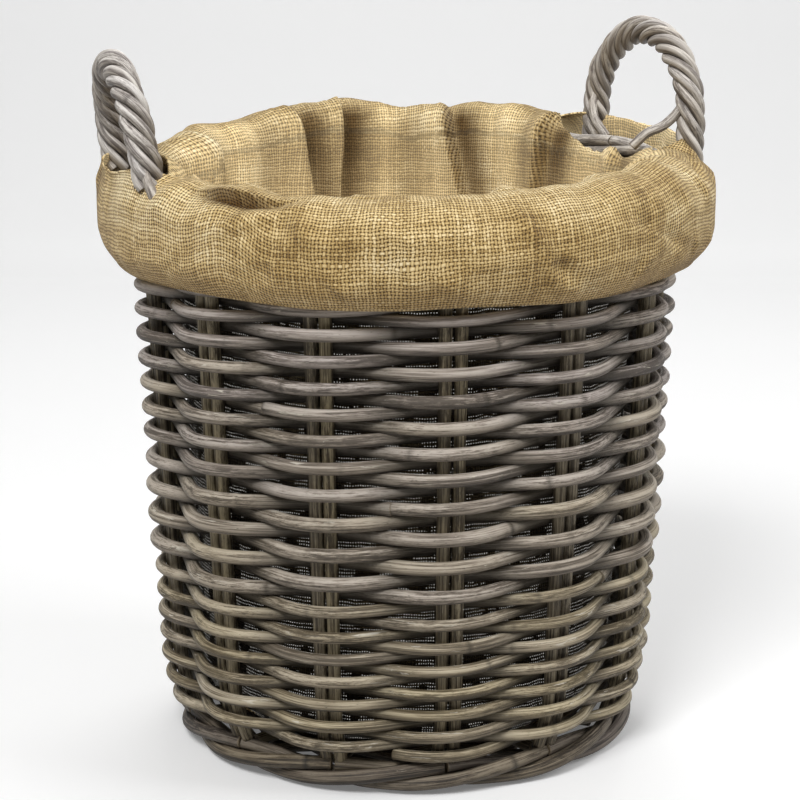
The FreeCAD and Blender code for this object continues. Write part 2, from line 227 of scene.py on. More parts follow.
def tube(pile, path, radius, tone=0.5, hue=0.5, sides=14, wobble=0.03, node_gap=(95, 260), tuck=None):
    """An organic rod along the path: thick and thin, with leaf-node rings and cut ends."""
    n = len(path)
    seg = np.linalg.norm(np.diff(path, axis=0), axis=1)
    s = np.concatenate([[0], np.cumsum(seg)])
    pitch = s[-1] / (n - 1)
    tangents = np.gradient(path, axis=0)
    tangents /= np.linalg.norm(tangents, axis=1)[:, None]
    side = unit(np.cross(tangents[0], (0.12, 0.2, 1.0)))
    radii = np.ones(n) * radius
    radii = radii * (1 + wander(n, pitch, 60, wobble))
    mark = np.zeros(n)
    at = rng.uniform(20, node_gap[1])
    while at < s[-1]:
        strength = rng.uniform(0.5, 1.0)
        swelling, neck = np.exp(-((s - at) / 2.4) ** 2), np.exp(-((s - at - 4) / 2.5) ** 2)
        radii *= 1 + strength * (0.05 * swelling - 0.035 * neck)
        mark = np.maximum(mark, strength * np.exp(-((s - at - 1.2) / 0.9) ** 2))
        at += rng.uniform(*node_gap)
    phi = np.linspace(0, 2 * math.pi, sides, endpoint=False)
    facets = 1 + 0.018 * np.sin(2 * phi + rng.uniform(0, 6)) + 0.012 * np.sin(3 * phi + rng.uniform(0, 6))
    rings = []
    for i in range(n):
        side = unit(side - (side @ tangents[i]) * tangents[i])
        other = np.cross(tangents[i], side)
        r = radii[i] * facets
        rings.append(path[i] + np.outer(r * np.cos(phi), side) + np.outer(r * np.sin(phi), other))
    ring_s = list(s)
    ring_r = list(radii)
    marks = list(mark)
    cuts = [0.0] * n
    shrinks = (0.93, 0.6, 0.12)
    for end, sign in ((0, -1), (-1, 1)):
        t = tangents[end] * sign
        base, rr, centre = rings[end], ring_r[end], path[end]
        tilt = rng.normal(0, 0.12, 2)
        extra = []
        for shrink, push in zip(shrinks, (0.3, 0.25, 0.1)):
            local = (base - centre) * shrink
            slant = local @ t + local[:, 0] * tilt[0] + local[:, 1] * tilt[1]
            extra.append(centre + local + t * push * rr * 0.2 + np.outer(slant, t))
        cap = list(zip(extra, [s[end]] * 3, [rr * shrink for shrink in shrinks], [0] * 3, [0.7, 1.0, 1.0]))
        if sign < 0:
            cap = cap[::-1]
        places, along, wide, plain, cut = (list(column) for column in zip(*cap))
        if sign < 0:
            rings, ring_s, ring_r = places + rings, along + ring_s, wide + ring_r
            marks, cuts = plain + marks, cut + cuts
        else:
            rings, ring_s, ring_r = rings + places, ring_s + along, ring_r + wide
            marks, cuts = marks + plain, cuts + cut
    m = len(rings)
    verts = np.vstack(rings)
    faces = []
    for i in range(m - 1):
        for j in range(sides):
            k = (j + 1) % sides
            faces.append((i * sides + j, i * sides + k, (i + 1) * sides + k, (i + 1) * sides + j))
    faces.append(tuple(range(sides))[::-1])
    faces.append(tuple((m - 1) * sides + j for j in range(sides)))
    shift = rng.uniform(0, 30)
    co = np.zeros((m * sides, 3))
    co[:, 0] = np.repeat(np.array(ring_s) * 0.001 + shift, sides)
    co[:, 1] = (np.outer(ring_r, np.cos(phi))).ravel() * 0.001
    co[:, 2] = (np.outer(ring_r, np.sin(phi))).ravel() * 0.001
    look = np.zeros((m * sides, 5))
    # the tuck number marks where the rod runs behind the stakes, for painted shade there
    if tuck is not None:
        look[:, 4] = np.repeat(np.concatenate([[tuck[0]] * 3, tuck, [tuck[-1]] * 3]), sides)
    look[:, 0] = np.clip(tone, 0, 1)
    look[:, 1] = np.clip(hue, 0, 1)
    look[:, 2] = np.repeat(marks, sides)
    look[:, 3] = np.repeat(cuts, sides)
    pile.add(verts, faces, co, look)


# ---- materials ----
def new_material(name):
    """A new material, its node tree and its shader node."""
    material = bpy.data.materials.new(name)
    material.use_nodes = True
    tree = material.node_tree
    shader = tree.nodes["Principled BSDF"]
    return material, tree, shader


def node(tree, kind, **settings):
    """A new shader node with these settings, whose inputs are numbers or other nodes' outputs."""
    made = tree.nodes.new(kind)
    inputs = settings.pop("inputs", {})
    for key, value in settings.items():
        setattr(made, key, value)
    for key, value in inputs.items():
        if isinstance(value, bpy.types.NodeSocket):
            tree.links.new(value, made.inputs[key])
        else:
            made.inputs[key].default_value = value
    return made


def ramp(tree, source, stops):
    """A colour ramp with these stops."""
    made = node(tree, "ShaderNodeValToRGB", inputs={0: source})
    bar = made.color_ramp
    while len(bar.elements) < len(stops):
        bar.elements.new(0.5)
    for element, (place, colour) in zip(bar.elements, stops):
        element.position = place
        element.color = (*colour, 1) if len(colour) == 3 else colour
    return made.outputs[0]


def mix(tree, factor, a, b, kind="MIX"):
    """Two colours mixed by a factor."""
    made = node(tree, "ShaderNodeMix", data_type="RGBA", blend_type=kind, clamp_result=True)
    for key, value in ((0, factor), (6, a), (7, b)):
        if isinstance(value, bpy.types.NodeSocket):
            tree.links.new(value, made.inputs[key])
        else:
            made.inputs[key].default_value = value if key == 0 else (*value, 1)
    return made.outputs[2]


def sums(tree, kind, a, b=0.5, c=None, clamp=False):
    """One step of arithmetic, as a math node."""
    inputs = {0: a, 1: b}
    if c is not None:
        inputs[2] = c
    return node(tree, "ShaderNodeMath", operation=kind, use_clamp=clamp, inputs=inputs).outputs[0]


def attribute(tree, name, output="Fac"):
    """A named attribute of the mesh."""
    return node(tree, "ShaderNodeAttribute", attribute_name=name).outputs[output]


def stretched_noise(tree, co, scale, detail=3.0, rough=0.55, distortion=0.0, at=(0, 0, 0)):
    """Noise with its own scale along and across a rod."""
    mapped = node(tree, "ShaderNodeMapping", inputs={0: co, "Location": at, "Scale": scale})
    made = node(tree, "ShaderNodeTexNoise", inputs={0: mapped.outputs[0], "Scale": 1.0, "Detail": detail,
                                                    "Roughness": rough, "Distortion": distortion})
    return made.outputs[0]


def noise(tree, vector, scale, detail=2.0, rough=0.5, output=0):
    """Plain noise, as a number or, with output 1, as a colour."""
    made = node(tree, "ShaderNodeTexNoise",
                inputs={0: vector, "Scale": scale, "Detail": detail, "Roughness": rough})
    return made.outputs[output]


def upward(tree):
    """How far the surface faces upwards: 0 down, 0.5 sideways, 1 up."""
    normal = node(tree, "ShaderNodeNewGeometry").outputs["Normal"]
    rise = node(tree, "ShaderNodeSeparateXYZ", inputs={0: normal}).outputs[2]
    return sums(tree, "MULTIPLY_ADD", rise, 0.5, 0.5)


def rattan(name, darks, mids, lights, peel, peel_at=0.66, roughness=0.6, bump=0.95, streaks=3.3, soot=0.6,
           bright=1.0):
    """Weathered rattan. Each of darks, mids and lights is an olive and a lilac-grey colour."""
    material, tree, shader = new_material(name)
    co = attribute(tree, "rod_co", "Vector")
    tone, hue = attribute(tree, "tone"), attribute(tree, "hue")
    mark, cut = attribute(tree, "mark"), attribute(tree, "cut")
    fine = stretched_noise(tree, co, (20, 950, 950), 6, 0.68)
    long = stretched_noise(tree, co, (5, 430, 430), 2, 0.5, 0.3, (3, 3, 7))
    broad = stretched_noise(tree, co, (9, 140, 140), 3, 0.5, 0.6, (4, 1, 2))
    blotch = stretched_noise(tree, co, (26, 230, 230), 5, 0.68, 0.9, (9, 5, 3))
    pits = stretched_noise(tree, co, (330, 1500, 1500), 2, 0.5, 0.0, (2, 8, 6))
    darks, mids, lights = [[tuple(c * bright for c in pair) for pair in group]
                           for group in (darks, mids, lights)]
    drift = stretched_noise(tree, co, (2.5, 9, 9), 2, 0.5, 0.0, (5, 2, 8))
    hue = sums(tree, "ADD", hue, sums(tree, "MULTIPLY_ADD", drift, 1.8, -0.9), clamp=True)
    dark = mix(tree, hue, darks[0], darks[1])
    mid = mix(tree, hue, mids[0], mids[1])
    light = mix(tree, hue, lights[0], lights[1])
    patchy = sums(tree, "MULTIPLY_ADD", broad, 1.9, -0.76)
    level = sums(tree, "ADD", sums(tree, "MULTIPLY", tone, 0.62), patchy)
    level = sums(tree, "ADD", level, sums(tree, "MULTIPLY_ADD", fine, streaks, -streaks / 2))
    level = sums(tree, "ADD", level, sums(tree, "MULTIPLY_ADD", long, 1.7, -0.85), clamp=True)
    zone = stretched_noise(tree, co, (3.2, 18, 18), 2, 0.5, 0.0, (7, 7, 1))
    flecks = stretched_noise(tree, co, (70, 520, 520), 6, 0.78, 0.4, (1, 6, 4))
    rough_zone = ramp(tree, zone, [(0.40, (0, 0, 0)), (0.56, (1, 1, 1))])
    flaked = sums(tree, "MULTIPLY", rough_zone, sums(tree, "MULTIPLY_ADD", flecks, 4.4, -2.2))
    level = sums(tree, "ADD", level, flaked, clamp=True)
    colour = mix(tree, ramp(tree, level, [(0.12, (0, 0, 0)), (0.5, (1, 1, 1))]), dark, mid)
    colour = mix(tree, ramp(tree, level, [(0.5, (0, 0, 0)), (0.95, (1, 1, 1))]), colour, light)
    peeled = ramp(tree, blotch, [(peel_at, (0, 0, 0)), (peel_at + 0.035, (1, 1, 1))])
    colour = mix(tree, sums(tree, "MULTIPLY", peeled, 0.75), colour, peel)
    specks = ramp(tree, pits, [(0.66, (0, 0, 0)), (0.74, (1, 1, 1))])
    colour = mix(tree, sums(tree, "MULTIPLY", specks, soot), colour, tuple(c * 0.25 for c in darks[0]))
    colour = mix(tree, sums(tree, "MULTIPLY", mark, 0.85), colour, tuple(c * 0.3 for c in darks[0]))
    pores = stretched_noise(tree, co, (900, 2400, 2400), 2, 0.6)
    filled = ramp(tree, pores, [(0.42, (0, 0, 0)), (0.6, (1, 1, 1))])
    pith = mix(tree, filled, (0.16, 0.115, 0.07), (0.50, 0.41, 0.28))
    colour = mix(tree, cut, colour, pith)
    # painted shade: the rod is painted darker where the tuck number says it runs behind the stakes
    tuck = attribute(tree, "tuck")
    colour = mix(tree, sums(tree, "MULTIPLY", tuck, 0.8), colour, tuple(c * 0.35 for c in darks[0]))
    # painted light and shade: tops painted lighter and undersides darker, by which way the surface faces
    painted_facing_light = ramp(tree, upward(tree),
                [(0.0, (0.22, 0.20, 0.18)), (0.38, (0.58, 0.56, 0.53)), (0.60, (0.95, 0.95, 0.95)),
                 (0.88, (1.32, 1.33, 1.36))])
    colour = mix(tree, 1.0, colour, painted_facing_light, "MULTIPLY")
    tree.links.new(colour, shader.inputs["Base Color"])
    rough = sums(tree, "MULTIPLY_ADD", fine, 0.25, roughness - 0.125)
    rough = sums(tree, "MULTIPLY_ADD", peeled, 0.12, rough, clamp=True)
    tree.links.new(rough, shader.inputs["Roughness"])
    height = sums(tree, "MULTIPLY_ADD", fine, 0.45, sums(tree, "MULTIPLY", broad, 0.35))
    height = sums(tree, "MULTIPLY_ADD", peeled, -0.12, height)
    flakes = sums(tree, "MULTIPLY", rough_zone, sums(tree, "MULTIPLY", flecks, 0.5))
    height = sums(tree, "ADD", height, flakes)
    height = sums(tree, "MULTIPLY_ADD", specks, -0.25, height)
    height = sums(tree, "MULTIPLY_ADD", mark, -0.5, height)
    bumped = node(tree, "ShaderNodeBump", inputs={"Height": height, "Strength": bump, "Distance": 0.0012})
    tree.links.new(bumped.outputs[0], shader.inputs["Normal"])
    shader.inputs["Specular IOR Level"].default_value = 0.38
    return material


def hessian(name, pitch=0.00248):
    """Plain-weave jute: two sets of threads passing over and under, with dark holes between."""
    material, tree, shader = new_material(name)
    co, fold = attribute(tree, "cloth_co", "Vector"), attribute(tree, "fold")
    wall = node(tree, "ShaderNodeSeparateXYZ", inputs={0: co}).outputs[2]
    place_here = co
    for scale, detail, sway in ((55.0, 3.0, 0.0036), (310.0, 2.0, 0.0009)):
        drift = noise(tree, co, scale, detail, output=1)
        place_here = node(tree, "ShaderNodeVectorMath", operation="MULTIPLY_ADD",
                          inputs={0: drift, 1: (sway, sway, 0), 2: place_here}).outputs[0]
    cells = node(tree, "ShaderNodeVectorMath", operation="SCALE", inputs={0: place_here, 3: 1 / pitch})
    split = node(tree, "ShaderNodeSeparateXYZ", inputs={0: cells.outputs[0]})
    u, v = split.outputs[0], split.outputs[1]

    def thread(across, along, odd):
        """Profile, height, own number and thickness of the nearest thread of one set."""
        index = sums(tree, "FLOOR", across)
        place = sums(tree, "ABSOLUTE", sums(tree, "SUBTRACT", sums(tree, "FRACT", across), 0.5))
        own = node(tree, "ShaderNodeTexWhiteNoise", noise_dimensions="1D",
                   inputs={"W": sums(tree, "ADD", index, 17.3 + odd * 40)}).outputs[0]
        vector = node(tree, "ShaderNodeCombineXYZ",
                      inputs={0: sums(tree, "MULTIPLY", index, 7.7 + odd),
                              1: sums(tree, "MULTIPLY", along, 0.22), 2: 3.0 * odd})
        slub = noise(tree, vector.outputs[0], 1.0)
        width = sums(tree, "MULTIPLY_ADD", slub, 0.24, 0.20)
        width = sums(tree, "ADD", width, sums(tree, "MULTIPLY", own, 0.07))
        ratio = sums(tree, "DIVIDE", place, width, clamp=True)
        squared = sums(tree, "MULTIPLY", ratio, ratio)
        profile = sums(tree, "SQRT", sums(tree, "SUBTRACT", 1.0, squared, clamp=True))
        half_turns = sums(tree, "ADD", sums(tree, "SUBTRACT", along, 0.5), index)
        wave = sums(tree, "COSINE", sums(tree, "MULTIPLY_ADD", half_turns, math.pi, odd * math.pi))
        height = sums(tree, "MULTIPLY", profile, sums(tree, "MULTIPLY_ADD", wave, 0.34, 0.66))
        return profile, height, own, slub

    warp, warp_height, warp_own, warp_slub = thread(u, v, 0)
    weft, weft_height, weft_own, weft_slub = thread(v, u, 1)
    on_top = sums(tree, "GREATER_THAN", warp_height, weft_height)

    def upper(of_weft, of_warp):
        """The value of whichever thread lies on top."""
        return node(tree, "ShaderNodeMix", data_type="FLOAT",
                    inputs={0: on_top, 2: of_weft, 3: of_warp}).outputs[0]

    own, slub = upper(weft_own, warp_own), upper(weft_slub, warp_slub)
    height = sums(tree, "MAXIMUM", warp_height, weft_height)
    thread_here = sums(tree, "MAXIMUM", warp, weft)
    hole = sums(tree, "LESS_THAN", thread_here, 0.42)
    fibre = noise(tree, co, 2600.0, 3.0, 0.7)
    stain = noise(tree, co, 14.0, 4.0, 0.6)
    level = sums(tree, "MULTIPLY_ADD", own, 0.28, sums(tree, "MULTIPLY_ADD", slub, 0.5, -0.14))
    level = sums(tree, "ADD", level, sums(tree, "MULTIPLY_ADD", fibre, 0.7, -0.35))
    level = sums(tree, "ADD", level, sums(tree, "MULTIPLY_ADD", stain, 1.5, -0.45), clamp=True)
    colour = ramp(tree, level, [(0.1, (0.26, 0.16, 0.055)), (0.40, (0.52, 0.37, 0.155)),
                                (0.66, (0.74, 0.57, 0.29)), (1.0, (0.95, 0.82, 0.54))])
    shade = ramp(tree, height, [(0.15, (0.07, 0.045, 0.02)), (0.48, (0.56, 0.48, 0.36)), (0.85, (1, 1, 1))])
    colour = mix(tree, 1.0, colour, shade, "MULTIPLY")
    # painted shade: the holes between the threads are painted dark brown, as the shade behind the cloth
    colour = mix(tree, hole, colour, (0.075, 0.048, 0.020))
    # painted light and shade: the cloth is painted lighter where it faces up and darker where it faces down
    painted_upward_light = ramp(tree, upward(tree), [(0.15, (0.50, 0.46, 0.40)), (0.45, (0.80, 0.78, 0.74)),
                                       (0.60, (0.97, 0.97, 0.97)), (0.9, (1.22, 1.24, 1.28))])
    colour = mix(tree, 1.0, colour, painted_upward_light, "MULTIPLY")

    # painted light: the side towards the bag's middle is painted lighter and made to glow, as if lit through
    # the cloth, except where the pleats and the lap are painted dark
    geometry = node(tree, "ShaderNodeNewGeometry")
    flat = node(tree, "ShaderNodeVectorMath", operation="MULTIPLY",
                inputs={0: geometry.outputs["Position"], 1: (1, 1, 0)})
    radial = node(tree, "ShaderNodeVectorMath", operation="NORMALIZE", inputs={0: flat.outputs[0]})
    facing = node(tree, "ShaderNodeVectorMath", operation="DOT_PRODUCT",
                  inputs={0: geometry.outputs["True Normal"], 1: radial.outputs[0]}).outputs["Value"]
    inside = ramp(tree, sums(tree, "MULTIPLY_ADD", facing, -0.5, 0.5), [(0.55, (0, 0, 0)), (0.85, (1, 1, 1))])
    colour = mix(tree, sums(tree, "MULTIPLY", inside, 0.16), colour, (0.97, 0.84, 0.56))
    # painted shade: darker on the lee side of the pleats and in the slot under the lap, by the fold number
    colour = mix(tree, fold, colour, mix(tree, 1.0, colour, (0.15, 0.10, 0.045), "MULTIPLY"))

    # painted shade: behind close rods the outside of the wall is painted near black, with painted light
    # glowing in some of its holes
    outside = sums(tree, "MULTIPLY", sums(tree, "GREATER_THAN", facing, 0.1), wall)
    # ambient occlusion decides where this painted shade goes
    open_air = node(tree, "ShaderNodeAmbientOcclusion", samples=6, inputs={"Distance": 0.035}).outputs["AO"]
    behind = sums(tree, "MULTIPLY", outside, ramp(tree, open_air, [(0.42, (1, 1, 1)), (0.85, (0, 0, 0))]))
    colour = mix(tree, sums(tree, "MULTIPLY", behind, 0.93), colour, (0.006, 0.005, 0.004))
    patches = sums(tree, "MULTIPLY_ADD", noise(tree, co, 42.0), 1.6, -0.72)
    # painted light: dots of light in some holes, as a glow
    painted_pinhole_glow = sums(tree, "MULTIPLY", sums(tree, "LESS_THAN", thread_here, patches), behind)
    # painted light: the glow of the side towards the bag's middle, weaker under the painted fold shade
    unfolded = sums(tree, "SUBTRACT", 1.0, sums(tree, "MULTIPLY", fold, 0.9))
    through = mix(tree, 1.0, colour, (0.50, 0.52, 0.55), "MULTIPLY")
    through = mix(tree, sums(tree, "MULTIPLY", inside, unfolded), (0, 0, 0), through)
    tree.links.new(mix(tree, painted_pinhole_glow, through, (0.50, 0.485, 0.45)), shader.inputs["Emission Color"])
    shader.inputs["Emission Strength"].default_value = 1.0
    tree.links.new(colour, shader.inputs["Base Color"])
    bumped = node(tree, "ShaderNodeBump",
                  inputs={"Height": sums(tree, "MULTIPLY_ADD", fibre, 0.16, height),
                          "Strength": 0.75, "Distance": 0.0011})
    tree.links.new(bumped.outputs[0], shader.inputs["Normal"])
    shader.inputs["Roughness"].default_value = 0.92
    shader.inputs["Specular IOR Level"].default_value = 0.12
    shader.inputs["Sheen Weight"].default_value = 0.12
    shader.inputs["Sheen Roughness"].default_value = 0.5
    return material


weaver_skin = rattan("weaver_rattan", ((0.085, 0.065, 0.035), (0.085, 0.070, 0.058)),
                     ((0.235, 0.190, 0.115), (0.225, 0.190, 0.165)),
                     ((0.43, 0.365, 0.24), (0.41, 0.365, 0.33)), (0.56, 0.52, 0.43), 0.62, bright=1.0)
stake_skin = rattan("stake_rattan", ((0.055, 0.040, 0.020), (0.052, 0.041, 0.027)),
                    ((0.17, 0.135, 0.075), (0.155, 0.128, 0.09)),
                    ((0.37, 0.31, 0.19), (0.33, 0.285, 0.21)), (0.44, 0.38, 0.27), 0.70)
border_skin = rattan("border_rattan", ((0.20, 0.17, 0.14), (0.20, 0.18, 0.165)),
                     ((0.42, 0.37, 0.30), (0.40, 0.37, 0.34)),
                     ((0.62, 0.57, 0.48), (0.60, 0.57, 0.53)), (0.68, 0.62, 0.52), 0.70, 0.55, 0.6, 1.4, 0.3,
                     bright=1.15)
foot_skin = rattan("foot_rattan", ((0.035, 0.026, 0.016), (0.035, 0.028, 0.023)),
                   ((0.115, 0.088, 0.055), (0.11, 0.088, 0.072)),
                   ((0.25, 0.205, 0.14), (0.23, 0.195, 0.165)), (0.33, 0.29, 0.23), 0.70, bright=0.8)
handle_skin = rattan("handle_rattan", ((0.12, 0.10, 0.085), (0.115, 0.10, 0.092)),
                     ((0.30, 0.265, 0.225), (0.285, 0.262, 0.24)),
                     ((0.50, 0.46, 0.40), (0.47, 0.445, 0.415)),
                     (0.60, 0.56, 0.50), 0.74, 0.5, 0.6, 1.5, 0.25, bright=1.3)
cloth_skin = hessian("jute_hessian")


def place(obj, body, slot, *nodes):
    """Gives a piece its body and hides the CAD nodes that it replaces; the slot is not used."""
    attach(obj, body)
    if nodes:
        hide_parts(*nodes)
    return obj


def thicken(obj):
    """Gives a sheet the thickness of the cloth."""
    layer = obj.modifiers.new("cloth", "SOLIDIFY")
    layer.thickness = CLOTH
    layer.offset = 0.0


# ---- weavers ----
def weaver_points(weaver, stakes, diameter, drift):
    """The corner points of a rod, and the radius of its bend at each."""
    corners, radii = [], []
    for stake in stakes:
        angle = stake_angle(stake)
        z = row_z(3 * stake / STAKES + weaver, angle)
        tuck, bulge = weave_corners(z, diameter)
        inside = (stake + weaver) % 2
        corners.append(polar(tuck if inside else bulge, angle, z + drift[stake - stakes[0]]))
        radii.append(TUCK if inside else BULGE)
    return corners, radii


def make_weavers():
    """Three weavers of six rods each, which climb side by side."""
    for weaver, letter in enumerate("abc"):
        for rod in range(6):
            first = round(-weaver * STAKES / 3) + rod * 29
            diameter = ROD_D[rod]
            stakes = list(range(first - 1, first + 30))
            drift = np.clip(rng.normal(0, 0.55, len(stakes)), -1, 1)
            corners, radii = weaver_points(weaver, stakes, diameter, drift)
            start = (corners[0] + corners[1]) / 2
            end = (corners[-2] + corners[-1]) / 2
            path = fillet_path([start] + corners[1:-1] + [end], radii[1:-1])
            path = smooth(resample(path, 3.5), 10)
            hue = 0.05 + 0.9 / (1 + math.exp(-(rod - 1.9) * 1.6)) + rng.normal(0, 0.08)
            tone = 0.54 + rng.normal(0, 0.24)
            pile = Pile()
            # painted shade: the tuck number darkens the rod where it runs inside the wall, behind the stakes
            around = np.hypot(path[:, 0], path[:, 1]) - np.array([wall_radius(z) for z in path[:, 2]])
            tube(pile, path, diameter / 2 * 1.05, tone, hue, 16, tuck=np.clip((3.5 - around) / 9.0, 0, 1))
            name = "weaver_%s_rod_%d" % (letter, rod + 1)
            place(pile.build("rattan_" + name, weaver_skin), "basket", "weaver_rattan", name)


# ---- stakes ----
def make_stakes():
    """The pairs of upright stakes."""
    for index in range(STAKES):
        angle = stake_angle(index)
        top = RIM_Z + rim_rise(angle) - 21.5
        out = polar(1, angle, 0)
        across = np.array([-out[1], out[0], 0])
        pile = Pile()
        for side in (-1, 1):
            shift = across * side * (5.4 + rng.uniform(-0.2, 0.4))
            lean = across * rng.normal(0, 0.7)
            up = np.array([0, 0, 1.0])
            points = [out * STAKE_FOOT_R + shift + up * STAKE_FOOT_Z,
                      out * BEND_R + shift + lean + up * BEND_Z,
                      out * wall_radius(top) + shift + up * top]
            path = smooth(resample(fillet_path(points, [BEND_ARC]), 4.0), 6)
            tube(pile, path, 4.6, 0.5 + rng.normal(0, 0.16), 0.35 + rng.normal(0, 0.15), 14)
        name = "stake_pair_%02d" % (index + 1)
        place(pile.build("rattan_" + name, stake_skin), "basket", "stake_rattan", name)


# ---- borders ----
def border_path(index, ring_r, centre_z, twist, extend=0.0, lift=0.0):
    """One rod of a border, rolled round the ring's middle line."""
    points = []
    for step in np.linspace(-extend, 3 + extend, 40):
        angle = stake_angle(index + step)
        turn = 2 * math.pi * step / 3 + math.pi / 2
        radius = ring_r + twist * math.cos(turn)
        points.append(polar(radius, angle, centre_z(angle) + lift + twist * math.sin(turn)))
    return resample(np.array(points), 3.5)


def make_borders():
    """The rim border and the foot border, with one rod for each pair of stakes."""
    pile = Pile()
    for index in range(STAKES):
        path = border_path(index, RIM_R, lambda a: RIM_Z + rim_rise(a) - 11.8, 5.4, -0.01)
        tube(pile, path, 4.5, 0.6 + rng.normal(0, 0.1), 0.7 + rng.normal(0, 0.15), 16)
    place(pile.build("rattan_rim_border", border_skin), "basket", "border_rattan", "rim_border")
    pile = Pile()
    for index in range(STAKES):
        path = border_path(index, FOOT_R, lambda a: 10.0, 6.2, -0.02)
        path = path + np.array([0, 0, 0.25])
        radius = 5.15 + rng.uniform(-0.2, 0.2)
        tube(pile, path, radius, 0.5 + rng.normal(0, 0.16), 0.4 + rng.normal(0, 0.25), 16)
    for verts in pile.verts:
        low = verts[:, 2] < 0.3
        verts[low, 2] = 0.1 + (verts[low, 2] - verts[low, 2].min()) * 0.15 if low.any() else 0
    place(pile.build("rattan_foot_border", foot_skin), "basket", "foot_rattan", "foot_border")


# ---- base ----
def make_base():
    """The cross of sticks, its half stick and the rods woven round it."""
    def stick(middle_arm, where, level):
        arm, far = middle_arm + where, middle_arm + 6 - where
        along = unit(polar(1, stake_angle(middle_arm), 0) - polar(1, stake_angle(middle_arm + 6), 0))
        across = np.array([-along[1], along[0], 0])
        z = np.array([0, 0, BASE_Z + level * 4.75])
        points = [polar(ARM_R, stake_angle(arm), BASE_Z), polar(HUB_R, stake_angle(arm), BASE_Z),
                  along * 26 + across * where * 9.6 + z, along * -26 + across * where * 9.6 + z,
                  polar(HUB_R, stake_angle(far), BASE_Z), polar(ARM_R, stake_angle(far), BASE_Z)]
        return smooth(resample(fillet_path(points, [18.0] * 4), 3.5), 3)
    for middle, level, name in ((1, -1, "base_sticks_lower"), (4, 1, "base_sticks_upper")):
        pile = Pile()
        for where in (-1, 0, 1):
            tube(pile, stick(middle, where, level), 4.5, 0.5 + rng.normal(0, 0.1), 0.3, 14)
        place(pile.build("rattan_" + name, stake_skin), "basket", "stake_rattan", name)
    pile = Pile()
    angle = stake_angle(STAKES - 1)
    half = resample(np.array([polar(HUB_R, angle, BASE_Z), polar(ARM_R, angle, BASE_Z)]), 4)
    tube(pile, half, 4.5, 0.5, 0.3, 14)
    place(pile.build("rattan_base_half_stick", stake_skin), "basket", "stake_rattan", "base_half_stick")
    for rod in range(3):
        points = []
        for arm in range(rod * 61 - 1, rod * 61 + 62):
            radius = 58 + 6.5 * arm / STAKES
            half_chord = radius * math.sin(math.radians(STEP / 2))
            lift = 8.0
            for _ in range(30):
                lift = 8.0 + 9.0 * (1 / math.cos(math.atan2(lift, half_chord)) - 1)
            points.append(polar(radius, stake_angle(arm), BASE_Z + (1 if arm % 2 else -1) * lift))
        path = fillet_path([(points[0] + points[1]) / 2] + points[1:-1] + [(points[-2] + points[-1]) / 2],
                           [9.0] * (len(points) - 2), 2.5)
        pile = Pile()
        tube(pile, resample(path, 3.0), 3.05, 0.5 + rng.normal(0, 0.1), 0.3, 12)
        name = "base_weaver_rod_%d" % (rod + 1)
        place(pile.build("rattan_" + name, foot_skin), "basket", "foot_rattan", name)


# ---- handles ----
# cane ends that leave the twist near its foot: steps across, outwards and above the rim's top
SPLAYS = {("right", 0): [[(-64, 0, 38), (-64, -8, 24), (-61, -20, 12), (-57, -33, 6), (-53, -43, -4)]],
          ("right", 1): [[(65, 0, 34), (73, 3, 20), (80, 4, 8), (84, 2, -4), (86, 0, -14)]],
          ("right", 2): [[(65, -1, 36), (60, -8, 20), (52, -11, 9), (42, -12, 2), (35, -10, -5)]],
          ("left", 0): [[(66, 0, 26), (72, 2, 14), (79, 2, 4), (86, 0, -8), (89, -2, -14)]],
          ("left", 1): [[(64, -1, 28), (59, -7, 16), (53, -11, 4), (50, -12, -6)]]}


def make_handles():
    """Two handles: a core, the canes twisted round it, and the splayed ends."""
    for side_name, angle, top, radius, lean, drop in HANDLES:
        out = polar(1, angle, 0)
        across = np.array([-out[1], out[0], 0])
        tilt = math.radians(lean)
        up = out * math.sin(tilt) + np.array([0, 0, math.cos(tilt)])
        foot = out * radius + np.array([0, 0, RIM_Z + rim_rise(angle) - drop])
        leg = top - (TWIST + CANE_R) - HALF - foot[2]
        side = np.cross(across, up)
        arch = math.pi * HALF
        length = 2 * leg + arch

        def axis(distance):
            if distance < leg:
                return foot - across * HALF + up * distance, -across
            if distance > leg + arch:
                return foot + across * HALF + up * (2 * leg + arch - distance), across
            swing = (distance - leg) / HALF
            outward = -across * math.cos(swing) + up * math.sin(swing)
            return foot + up * leg + outward * HALF, outward

        below = up * (CORE_DEPTH - drop)
        core = [foot - across * HALF - below] + [axis(d)[0] for d in np.linspace(0, length, 90)]
        core = np.array(core + [foot + across * HALF - below])
        pile = Pile()
        tube(pile, resample(core, 3.5), 3.6, 0.25, 0.5, 12)
        name = side_name + "_handle_core"
        place(pile.build("rattan_" + name, handle_skin), "basket", "handle_rattan", name)
        for index in range(CANES):
            points = []
            swell = wander(141, length / 140, 60, 0.45)
            for step in range(141):
                distance = length * step / 140
                centre, outward = axis(distance)
                turn = 2 * math.pi * (distance / LAY + index / CANES)
                r = TWIST + swell[step]
                points.append(centre + (outward * math.cos(turn) - side * math.sin(turn)) * r)
            pile = Pile()
            tone, hue = 0.55 + rng.normal(0, 0.16), 0.55 + rng.normal(0, 0.25)
            tube(pile, resample(np.array(points), 2.4), SEEN_CANE_R, tone, hue, 18, 0.035, (120, 320))
            for offsets in SPLAYS.get((side_name, index), []):
                route = [foot + across * a + out * b + up * (c + drop) for a, b, c in offsets]
                path = resample(spline(np.array(route), 3.0), 2.4)
                tube(pile, path, 3.6, 0.6 + rng.normal(0, 0.1), 0.4, 16)
            name = "%s_handle_cane_%d" % (side_name, index + 1)
            place(pile.build("rattan_" + name, handle_skin), "basket", "handle_rattan", name)


